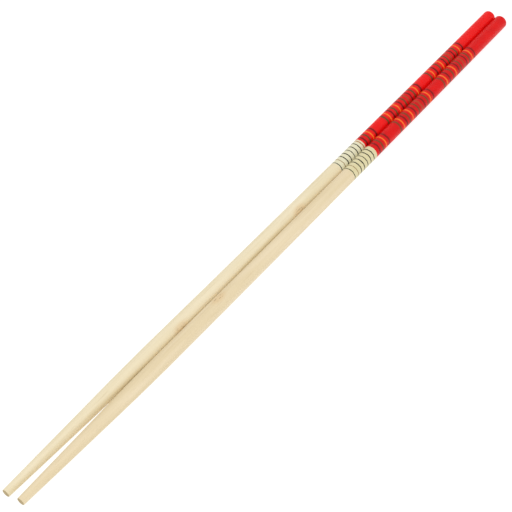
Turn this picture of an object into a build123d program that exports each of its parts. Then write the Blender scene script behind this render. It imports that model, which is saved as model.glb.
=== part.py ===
"""A pair of long round bamboo cooking chopsticks, lying side by side.

Millimetres. The sticks lie along X with their tips at -X and their painted butts at +X, and Z is up.
The origin is under the middle of the pair, on the surface that it lies on.

Each stick is turned in one piece: a fine flat tip, a straight taper that eases into a plain round
shank, and a butt with a rounded rim. The paint is a coating, so it has no solid of its own.
"""

from build123d import *
import os

# ---- what both sticks share, from the tip to the butt ----
tip_diameter = 4.1           # at the tip face
tip_rim_radius = 0.25        # the tip's edge, worn soft
taper_length = 83.0          # tip face to where the line of the taper meets the shank
taper_ease_radius = 1000.0   # the long curve that runs the taper into the shank
butt_rim_radius = 0.9        # the butt's edge, rounded before it is painted

# ---- the two sticks are sorted by hand, so they differ a little ----
left_length = 421.3          # tip face to butt face
right_length = 420.0
left_shank_diameter = 7.85
right_shank_diameter = 8.2

# ---- how the pair lies ----
side_clearance = 0.05        # between the two shanks
tip_stagger = 0.9            # the right tip lies this much further towards +X


def turned_stick(length, shank_diameter, tip_x, axis_y):
    """One stick, turned about its own axis, with its shank lying on z = 0."""
    tip_radius = tip_diameter / 2
    shank_radius = shank_diameter / 2
    axis_start = (tip_x, axis_y, shank_radius)
    with BuildPart() as stick:
        with BuildSketch(Plane(origin=axis_start, x_dir=(1, 0, 0), z_dir=(0, -1, 0))):
            with BuildLine():
                outline = FilletPolyline(
                    (0, 0),
                    (0, -tip_radius),
                    (taper_length, -shank_radius),
                    (length, -shank_radius),
                    (length, 0),
                    radius=[tip_rim_radius, taper_ease_radius, butt_rim_radius],
                )
                Line(outline @ 1, outline @ 0)
            make_face()
        revolve(axis=Axis(axis_start, (1, 0, 0)))
    return stick


overall_length = max(left_length, tip_stagger + right_length)
overall_width = left_shank_diameter + side_clearance + right_shank_diameter

chopstick_left = turned_stick(
    left_length,
    left_shank_diameter,
    tip_x=-overall_length / 2,
    axis_y=(overall_width - left_shank_diameter) / 2,
)
chopstick_left.part.label = "chopstick_left"

chopstick_right = turned_stick(
    right_length,
    right_shank_diameter,
    tip_x=-overall_length / 2 + tip_stagger,
    axis_y=-(overall_width - right_shank_diameter) / 2,
)
chopstick_right.part.label = "chopstick_right"

os.makedirs("parts", exist_ok=True)
export_step(chopstick_left.part, "parts/chopstick_left.step")
export_step(chopstick_right.part, "parts/chopstick_right.step")
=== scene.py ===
"""A pair of long bamboo cooking chopsticks, lying side by side on a pale table.

The sticks lie along X, with their tips at -X and their painted butts at +X. Each is one piece: it is
turned from half of its outline, then given the small bends and swellings that real bamboo has. Its
finish changes along X, from bare sanded wood to a handle with printed lines under a clear coat.

The sticks are worked out in millimetres, and a place along them is measured from the left stick's
tip. The finished pieces, the table, the light and the camera are in metres.
"""

from dataclasses import dataclass
from math import atan2, cos, exp, hypot, pi, radians, sin

import bmesh
import bpy
from mathutils import Matrix, Vector, noise


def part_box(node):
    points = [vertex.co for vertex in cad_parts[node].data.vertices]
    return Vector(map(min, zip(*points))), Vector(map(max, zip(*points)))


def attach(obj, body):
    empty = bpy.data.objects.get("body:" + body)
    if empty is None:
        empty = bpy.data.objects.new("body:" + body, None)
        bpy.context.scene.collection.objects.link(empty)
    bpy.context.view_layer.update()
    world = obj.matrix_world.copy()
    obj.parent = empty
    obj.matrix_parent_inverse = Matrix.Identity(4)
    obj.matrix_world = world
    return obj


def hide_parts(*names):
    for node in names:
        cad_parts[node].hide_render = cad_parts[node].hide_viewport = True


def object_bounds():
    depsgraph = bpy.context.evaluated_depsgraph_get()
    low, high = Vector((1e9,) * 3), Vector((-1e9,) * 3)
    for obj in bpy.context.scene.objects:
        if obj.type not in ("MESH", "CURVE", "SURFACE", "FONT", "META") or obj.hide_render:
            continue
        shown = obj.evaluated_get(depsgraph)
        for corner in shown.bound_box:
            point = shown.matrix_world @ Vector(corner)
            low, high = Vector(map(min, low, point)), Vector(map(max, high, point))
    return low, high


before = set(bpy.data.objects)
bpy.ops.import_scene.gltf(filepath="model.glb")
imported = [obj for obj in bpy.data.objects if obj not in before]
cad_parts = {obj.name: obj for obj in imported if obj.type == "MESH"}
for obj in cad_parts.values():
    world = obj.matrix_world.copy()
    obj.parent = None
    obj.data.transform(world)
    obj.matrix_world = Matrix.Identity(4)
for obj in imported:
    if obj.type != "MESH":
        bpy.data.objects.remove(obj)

MM = 0.001
cad_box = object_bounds()
origin_x = cad_box[0][0] / MM       # where the left tip lies on X, in millimetres
MERGE = 0.001                       # points closer than this, in millimetres, become one

# ---- the shape that both sticks share, in millimetres ----
TIP_RADIUS = 2.05
TIP_RIM = 0.25
TAPER_LENGTH = 83.0
TAPER_EASE = 11.0                   # on each side of where the taper meets the shank
BUTT_RIM = 0.9
FACES_ROUND = 64                    # around a stick
FACE_LENGTH = 0.7                   # along a stick, at most

# ---- how real bamboo strays from that shape, in millimetres ----
BOW = 0.65                          # both sticks curve together, towards -Y in the middle
UNEVENNESS = 0.025                  # flats and hollows left by the turning
UNEVEN_ALONG = 60.0                 # and how far they reach along a stick
UNEVEN_ACROSS = 3.0                 # and around it
NODE_RISE = 0.04                    # the swelling at a node
NODE_WIDTH = 1.8

# ---- the flat layout of a stick's skin, in millimetres ----
STRIPS = 4                          # the skin is cut into this many lengths, laid side by side
STRIP_GAP = 0.6
SHEET_SIDE = 115.0                  # the square sheet that they lie on
TIP_ROW = 1                         # the strips, counted from 0, that the two round ends lie beside
BUTT_ROW = 3
END_LEAN = 0.6                      # a face that leans further than this towards X is an end's

# ---- a stick's finishes, in the order of its materials ----
BARE, PRINTED, CUT = range(3)


def srgb(red, green, blue):
    """A colour as a paint chart gives it, 0 to 255, as the linear colour that a shader takes."""
    def linear(part):
        part /= 255
        return part / 12.92 if part <= 0.04045 else ((part + 0.055) / 1.055) ** 2.4
    return (linear(red), linear(green), linear(blue), 1.0)


# ---------------------------------------------------------------- inks and print

BLACK = srgb(42, 40, 22)
FAINT = srgb(156, 128, 84)
TAN = srgb(186, 140, 96)
OLIVE = srgb(114, 66, 32)
ORANGE = srgb(234, 60, 16)
GOLD = srgb(252, 142, 44)
OCHRE = srgb(180, 64, 34)
MAROON = srgb(118, 16, 12)
WASH = srgb(150, 14, 22)            # ink spread thinly beside the darker lines

# Each ink's strokes, the widest first: the width in millimetres, the colour and how well it covers.
INKS = {
    "faint": [(0.5, FAINT, 1.0)],
    "thin": [(0.55, BLACK, 1.0)],
    "bold": [(0.7, BLACK, 1.0)],
    "tan": [(0.8, TAN, 1.0)],
    "maroon": [(3.0, WASH, 0.25), (1.1, MAROON, 1.0)],
    "olive": [(3.0, WASH, 0.25), (1.2, OLIVE, 1.0)],
    "gold": [(1.6, ORANGE, 1.0), (0.5, GOLD, 1.0)],
    "ochre": [(3.0, WASH, 0.25), (1.4, OCHRE, 1.0)],
}

PRINT_START = 252.6                 # where the clear coat begins
RED_START = 276.0                   # where the red paint begins
LINE_STEP = 3.13                    # between the lines of a group

# Groups of lines: where the first line lies along the left stick, and the inks in order.
THREE_LINES = ["olive", "gold", "maroon"]
DULL_THREE = ["olive", "ochre", "maroon"]
PRINT = [
    (253.2, ["thin", "faint", "bold", "bold", "thin", "bold", "bold"]),
    (278.15, ["maroon"] + THREE_LINES),
    (300.0, THREE_LINES),
    (309.3, THREE_LINES),
    (319.0, DULL_THREE),
    (328.5, THREE_LINES),
    (346.95, THREE_LINES),
    (357.1, THREE_LINES),
    (366.2, DULL_THREE),
    (375.5, THREE_LINES),
]


@dataclass
class Stick:
    """What sets one stick of the pair apart. Its colours include painted light and shade: the left
    stick's are set lighter and the right stick's darker, for how the light falls on each.
    """
    name: str
    node: str
    slot: str
    wood: tuple                     # its lighter and its darker wood
    sealer: tuple                   # tints the bare end of the handle
    red: tuple                      # its thinner and its thicker paint
    scars: list                     # where each node was planed off: along the pair, across it, up
    red_start: float
    print_slip: float               # how far its print sits beyond the left stick's
    print_groups: list
    ink: float                      # how well its ink covers the red, up to 1


LEFT = Stick(
    name="left_chopstick",
    node="chopstick_left",
    slot="left_stick",
    # Lighter than the right stick's, here and in the sealer and red: the wood's and paint's own colour
    # with painted light, for the stronger light on this stick.
    wood=(srgb(236, 223, 191), srgb(229, 215, 178)),
    sealer=srgb(222, 226, 198),
    red=(srgb(231, 11, 12), srgb(241, 17, 14)),
    scars=[(116.0, 0.8, 5.9), (214.0, 0.9, 6.2)],
    red_start=RED_START,
    print_slip=0.0,
    print_groups=PRINT + [(274.65, ["tan"])],
    ink=1.0,
)
RIGHT = Stick(
    name="right_chopstick",
    node="chopstick_right",
    slot="right_stick",
    # Darker than the left stick's, here and in the sealer and red: the wood's and paint's own colour with
    # painted shade, for the weaker light on this stick.
    wood=(srgb(233, 216, 182), srgb(226, 208, 170)),
    sealer=srgb(213, 212, 161),
    red=(srgb(213, 4, 6), srgb(223, 10, 8)),
    scars=[(140.0, -3.2, 8.1)],
    red_start=RED_START - 1.0,
    print_slip=0.1,
    print_groups=PRINT,
    ink=0.88,
)


# ---------------------------------------------------------------- shader building

def add(tree, kind, inputs=None, **settings):
    """Add a node. Inputs are values, or the sockets of other nodes."""
    node = tree.nodes.new("ShaderNode" + kind)
    for name, value in settings.items():
        setattr(node, name, value)
    for name, value in (inputs or {}).items():
        if isinstance(value, bpy.types.NodeSocket):
            tree.links.new(value, node.inputs[name])
        else:
            node.inputs[name].default_value = value
    return node


def calc(tree, operation, *values):
    return add(tree, "Math", dict(enumerate(values)), operation=operation).outputs[0]


def mix(tree, share, under, over):
    """Lay one colour over another. The sockets 0, 6, 7 and 2 are the mix node's colour ones."""
    return add(tree, "Mix", {0: share, 6: under, 7: over}, data_type="RGBA").outputs[2]


def spread(tree, value, low, high, to_low=0.0, to_high=1.0):
    """Stretch a value's range, and hold it at the ends."""
    ends = {"Value": value, "From Min": low, "From Max": high, "To Min": to_low, "To Max": to_high}
    return add(tree, "MapRange", ends, interpolation_type="SMOOTHSTEP").outputs[0]


def grain(tree, place, stretch, detail=3.0, rough=0.55, shift=0.0):
    """Noise drawn out along X. stretch is its coarseness along and across the stick, in mm."""
    along, across = stretch
    drawn = add(tree, "Mapping", {
        "Vector": place,
        "Location": (shift, shift, shift),
        "Scale": (1 / along, 1 / across, 1 / across),
    })
    return add(tree, "TexNoise", {
        "Vector": drawn.outputs[0],
        "Scale": 1.0,
        "Detail": detail,
        "Roughness": rough,
    }).outputs["Fac"]


def new_material(name):
    """A material, its nodes, its one shader, and the socket for places in mm from the left tip."""
    material = bpy.data.materials.new(name)
    material.use_nodes = True
    tree = material.node_tree
    shader = tree.nodes["Principled BSDF"]
    coordinates = add(tree, "TexCoord")
    place = add(tree, "Mapping", {
        "Vector": coordinates.outputs["Object"],
        "Location": (-origin_x, 0.0, 0.0),
        "Scale": (1 / MM, 1 / MM, 1 / MM),
    })
    return material, tree, shader, place.outputs[0]


# ---------------------------------------------------------------- bamboo

FIBRE = srgb(208, 182, 136)
BUNDLE = srgb(160, 124, 80)
NODE_STAIN = srgb(220, 182, 128)
NODE_FLECK = srgb(112, 84, 50)
END_WOOD = srgb(200, 182, 142)
END_SHADE = srgb(170, 150, 110)
END_DOT = srgb(112, 88, 56)


def patch(tree, place, centre, long, wide):
    """1 in the middle of an oval patch of the skin, easing to 0 at its edge."""
    shrink = (1 / long, 1 / wide, 1 / wide)
    centred = add(tree, "Mapping", {
        "Vector": place,
        "Location": [-part * scale for part, scale in zip(centre, shrink)],
        "Scale": shrink,
    })
    away = add(tree, "VectorMath", {0: centred.outputs[0]}, operation="LENGTH").outputs["Value"]
    return spread(tree, away, 1.0, 0.3)


def bamboo(tree, place, stick):
    """The colour and the surface height of planed bamboo, stained and flecked at its nodes."""
    tone = spread(tree, grain(tree, place, (70, 5), detail=2, shift=3.1), 0.35, 0.65)
    colour = mix(tree, tone, *stick.wood)

    fibres = grain(tree, place, (40, 0.3), detail=3, rough=0.6)
    colour = mix(tree, spread(tree, fibres, 0.50, 0.78, 0, 0.3), colour, FIBRE)

    bundles = grain(tree, place, (25, 0.4), detail=1, rough=0.5, shift=17.3)
    colour = mix(tree, spread(tree, bundles, 0.68, 0.78, 0, 0.25), colour, BUNDLE)

    flecks = spread(tree, grain(tree, place, (2.2, 0.5), detail=1, shift=29.0), 0.58, 0.66)
    for scar in stick.scars:
        stained = calc(tree, "MULTIPLY", patch(tree, place, scar, long=7, wide=3.5), 0.35)
        colour = mix(tree, stained, colour, NODE_STAIN)
        flecked = calc(tree, "MULTIPLY", flecks, patch(tree, place, scar, long=4, wide=2.2))
        colour = mix(tree, calc(tree, "MULTIPLY", flecked, 0.6), colour, NODE_FLECK)
    return colour, fibres


def bare_bamboo(stick):
    material, tree, shader, place = new_material(stick.name + "_bare_bamboo")
    colour, fibres = bamboo(tree, place, stick)
    tree.links.new(colour, shader.inputs["Base Color"])
    roughness = spread(tree, fibres, 0.3, 0.7, 0.5, 0.62)
    tree.links.new(roughness, shader.inputs["Roughness"])
    shader.inputs["Specular IOR Level"].default_value = 0.3
    bump = add(tree, "Bump", {"Height": fibres, "Strength": 0.25, "Distance": 0.05 * MM})
    tree.links.new(bump.outputs[0], shader.inputs["Normal"])
    return material


def cut_end(stick):
    """End grain: the cut ends of the fibre bundles show as dark dots in a duller wood."""
    material, tree, shader, place = new_material(stick.name + "_cut_end")
    dots = add(tree, "TexVoronoi", {"Vector": place, "Scale": 2.6, "Randomness": 0.8})
    dark = spread(tree, dots.outputs["Distance"], 0.34, 0.16, 0, 0.7)
    mottle = grain(tree, place, (1.5, 1.5), shift=5.0)
    wood = mix(tree, mottle, END_WOOD, END_SHADE)
    tree.links.new(mix(tree, dark, wood, END_DOT), shader.inputs["Base Color"])
    shader.inputs["Roughness"].default_value = 0.8
    shader.inputs["Specular IOR Level"].default_value = 0.2
    return material


# ---------------------------------------------------------------- the printed handle

def printed_handle(stick):
    """Bamboo under a clear coat, with lines printed on it and on a red ground."""
    material, tree, shader, place = new_material(stick.name + "_printed_handle")
    wood, fibres = bamboo(tree, place, stick)
    sealed = mix(tree, 0.5, wood, stick.sealer)
    mottle = spread(tree, grain(tree, place, (6, 2.5), detail=3, shift=21.0), 0.3, 0.7)
    red = mix(tree, mottle, *stick.red)

    # The roller that prints the lines wobbles a little, and its ink has ragged edges.
    along = add(tree, "SeparateXYZ", {"Vector": place}).outputs["X"]
    wobble = spread(tree, grain(tree, place, (8, 3), detail=2, shift=11.0), 0.2, 0.8, -0.18, 0.18)
    ragged = spread(tree, grain(tree, place, (0.35, 0.35), detail=2, shift=2.0), 0.2, 0.8, -0.1, 0.1)
    shift = calc(tree, "SUBTRACT", calc(tree, "ADD", wobble, ragged), stick.print_slip)
    along = calc(tree, "ADD", along, shift)

    colour = mix(tree, calc(tree, "GREATER_THAN", along, stick.red_start), sealed, red)
    for first_at, inks in stick.print_groups:
        strength = stick.ink if first_at > RED_START else 1.0
        for number, ink in enumerate(inks):
            for width, tint, cover in INKS[ink]:
                inside = calc(tree, "COMPARE", along, first_at + number * LINE_STEP, width / 2)
                colour = mix(tree, calc(tree, "MULTIPLY", inside, cover * strength), colour, tint)

    tree.links.new(colour, shader.inputs["Base Color"])
    shader.inputs["Roughness"].default_value = 0.45
    shader.inputs["Specular IOR Level"].default_value = 0.12
    shader.inputs["Coat Weight"].default_value = 0.15
    shader.inputs["Coat Roughness"].default_value = 0.22
    bump = add(tree, "Bump", {"Height": fibres, "Strength": 0.12, "Distance": 0.05 * MM})
    tree.links.new(bump.outputs[0], shader.inputs["Normal"])
    return material


# ---------------------------------------------------------------- the sticks

def turn(length, shank_radius):
    """Turn a plain stick along X from half of its outline. Its axis starts at the origin."""
    mesh = bmesh.new()
    outline = [(0, 0), (0, TIP_RADIUS), (TAPER_LENGTH, shank_radius), (length, shank_radius), (length, 0)]
    corners = [mesh.verts.new((x, 0, z)) for x, z in outline]
    for start, end in zip(corners, corners[1:]):
        mesh.edges.new((start, end))
    roundings = [(corners[1], TIP_RIM, 4), (corners[2], TAPER_EASE, 6), (corners[3], BUTT_RIM, 8)]
    for corner, reach, steps in roundings:
        bmesh.ops.bevel(mesh, geom=[corner], offset=reach, offset_type="OFFSET", segments=steps,
                        profile=0.5, affect="VERTICES", material=-1)
    for edge in list(mesh.edges):
        cuts = int(edge.calc_length() / FACE_LENGTH)
        if cuts:
            bmesh.ops.subdivide_edges(mesh, edges=[edge], cuts=cuts)
    bmesh.ops.spin(mesh, geom=mesh.verts[:] + mesh.edges[:], cent=(0, 0, 0), axis=(1, 0, 0),
                   angle=2 * pi, steps=FACES_ROUND, use_merge=True)
    bmesh.ops.remove_doubles(mesh, verts=mesh.verts, dist=MERGE)
    bmesh.ops.recalc_face_normals(mesh, faces=mesh.faces)
    return mesh


def cut_across(mesh, x):
    bmesh.ops.bisect_plane(mesh, geom=mesh.verts[:] + mesh.edges[:] + mesh.faces[:], dist=MERGE,
                           plane_co=(x, 0, 0), plane_no=(1, 0, 0))


def lay_out_skin(mesh, length, shank_radius):
    """Cut the skin into strips and lay them flat on a square sheet, with the two ends beside them.

    A strip's long edges meet under the stick. The sheet keeps the finish sharp when it is exported.
    """
    strip_length = length / STRIPS
    for number in range(1, STRIPS):
        cut_across(mesh, number * strip_length)
    sheet = mesh.loops.layers.uv.new("OFBake")
    beside = strip_length + STRIP_GAP + shank_radius
    strip_width = 2 * pi * shank_radius + STRIP_GAP
    for face in mesh.faces:
        middle = face.calc_center_median()
        number = min(int(middle.x / strip_length), STRIPS - 1)
        middle_angle = atan2(middle.y, middle.z)
        for loop in face.loops:
            x, y, z = loop.vert.co
            if abs(face.normal.x) > END_LEAN:
                row = TIP_ROW if middle.x < TAPER_LENGTH else BUTT_ROW
                flat = (beside + y, row * strip_width + z)
            else:
                turned = atan2(y, z) - middle_angle
                turned -= 2 * pi * round(turned / (2 * pi))
                round_stick = (middle_angle + turned + pi) * shank_radius
                flat = (x - number * strip_length, number * strip_width + round_stick)
            loop[sheet].uv = [(place + STRIP_GAP) / SHEET_SIDE for place in flat]


def make_natural(mesh, length, shank_radius, scars_at):
    """Stray from the turned shape as bamboo does, but stay on the table."""
    for vert in mesh.verts:
        x, y, z = vert.co
        spot = Vector((x / UNEVEN_ALONG, y / UNEVEN_ACROSS, z / UNEVEN_ACROSS))
        rise = UNEVENNESS * noise.noise(spot)
        rise += sum(NODE_RISE * exp(-((x - at) / NODE_WIDTH) ** 2) for at in scars_at)
        swell = 1 + rise / max(hypot(y, z), 1.0)    # gentler within 1 mm of the axis
        bow = BOW * ((2 * x / length - 1) ** 2 - 0.5)
        vert.co = (x, y * swell + bow, max(z * swell, -shank_radius))


def finished(name, mesh, materials):
    """Make a shape into an object of the scene."""
    data = bpy.data.meshes.new(name)
    mesh.to_mesh(data)
    mesh.free()
    for material in materials:
        data.materials.append(material)
    piece = bpy.data.objects.new(name, data)
    bpy.context.scene.collection.objects.link(piece)
    return piece


def chopstick(stick):
    """One stick in the place of its CAD node."""
    low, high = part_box(stick.node)
    low, high = low / MM, high / MM
    length = high.x - low.x
    shank_radius = (high.z - low.z) / 2
    tip_x = low.x - origin_x
    print_start = PRINT_START + stick.print_slip - tip_x

    mesh = turn(length, shank_radius)
    cut_across(mesh, print_start)
    lay_out_skin(mesh, length, shank_radius)
    for face in mesh.faces:
        face.smooth = True
        x = face.calc_center_median().x
        if x < TIP_RIM / 4:
            face.material_index = CUT
        elif x > print_start:
            face.material_index = PRINTED
        else:
            face.material_index = BARE
    make_natural(mesh, length, shank_radius, [scar[0] - tip_x for scar in stick.scars])
    bmesh.ops.translate(mesh, verts=mesh.verts, vec=(low.x, (low.y + high.y) / 2, shank_radius))
    bmesh.ops.scale(mesh, verts=mesh.verts, vec=(MM, MM, MM))

    materials = [bare_bamboo(stick), printed_handle(stick), cut_end(stick)]
    piece = finished(stick.name, mesh, materials)
    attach(piece, "root")
    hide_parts(stick.node)


# ---------------------------------------------------------------- table, light and camera

def table():
    """A plain lit surface, far wider than the pair, that leaves them almost no shadow."""
    mesh = bmesh.new()
    bmesh.ops.create_grid(mesh, x_segments=1, y_segments=1, size=3.0)
    material = bpy.data.materials.new("table_white")
    material.use_nodes = True
    shader = material.node_tree.nodes["Principled BSDF"]
    shader.inputs["Base Color"].default_value = (0.25, 0.25, 0.25, 1)
    shader.inputs["Roughness"].default_value = 0.9
    shader.inputs["Specular IOR Level"].default_value = 0.1
    shader.inputs["Emission Color"].default_value = (1, 1, 1, 1)
    shader.inputs["Emission Strength"].default_value = 0.87
    finished("table", mesh, [material])


def soft_light(name, place, size, power):
    """A square light that faces the middle of the pair, in metres and watts."""
    lamp = bpy.data.lights.new(name, "AREA")
    lamp.shape = "SQUARE"
    lamp.size = size
    lamp.energy = power
    light = bpy.data.objects.new(name, lamp)
    light.location = place
    light.rotation_euler = (-Vector(place)).to_track_quat("-Z", "Y").to_euler()
    bpy.context.scene.collection.objects.link(light)


def studio():
    world = bpy.data.worlds.new("studio")
    world.use_nodes = True
    background = world.node_tree.nodes["Background"]
    background.inputs["Color"].default_value = (1, 1, 1, 1)
    background.inputs["Strength"].default_value = 0.78
    bpy.context.scene.world = world
    soft_light("key_light", place=(-0.32, -0.3, 1.5), size=1.5, power=8.8)
    bpy.context.scene.view_settings.view_transform = "Standard"


def camera():
    """Look down at the pair from the tips' end and the right stick's side, from an arm's length."""
    heading, dip, roll = radians(36.376), radians(48.657), radians(0.747)
    distance = 625.4 * MM
    aim = Vector((-34.8, 0.5, 4.2)) * MM
    view = Vector((cos(dip) * cos(heading), cos(dip) * sin(heading), -sin(dip)))
    lens = bpy.data.cameras.new("camera")
    lens.sensor_width = 36.0
    lens.lens = 86.28
    eye = bpy.data.objects.new("camera", lens)
    turned = view.to_track_quat("-Z", "Y").to_matrix().to_4x4() @ Matrix.Rotation(roll, 4, "Z")
    eye.matrix_world = Matrix.Translation(aim - view * distance) @ turned
    bpy.context.scene.collection.objects.link(eye)
    bpy.context.scene.camera = eye


chopstick(LEFT)
chopstick(RIGHT)
table()
studio()
camera()
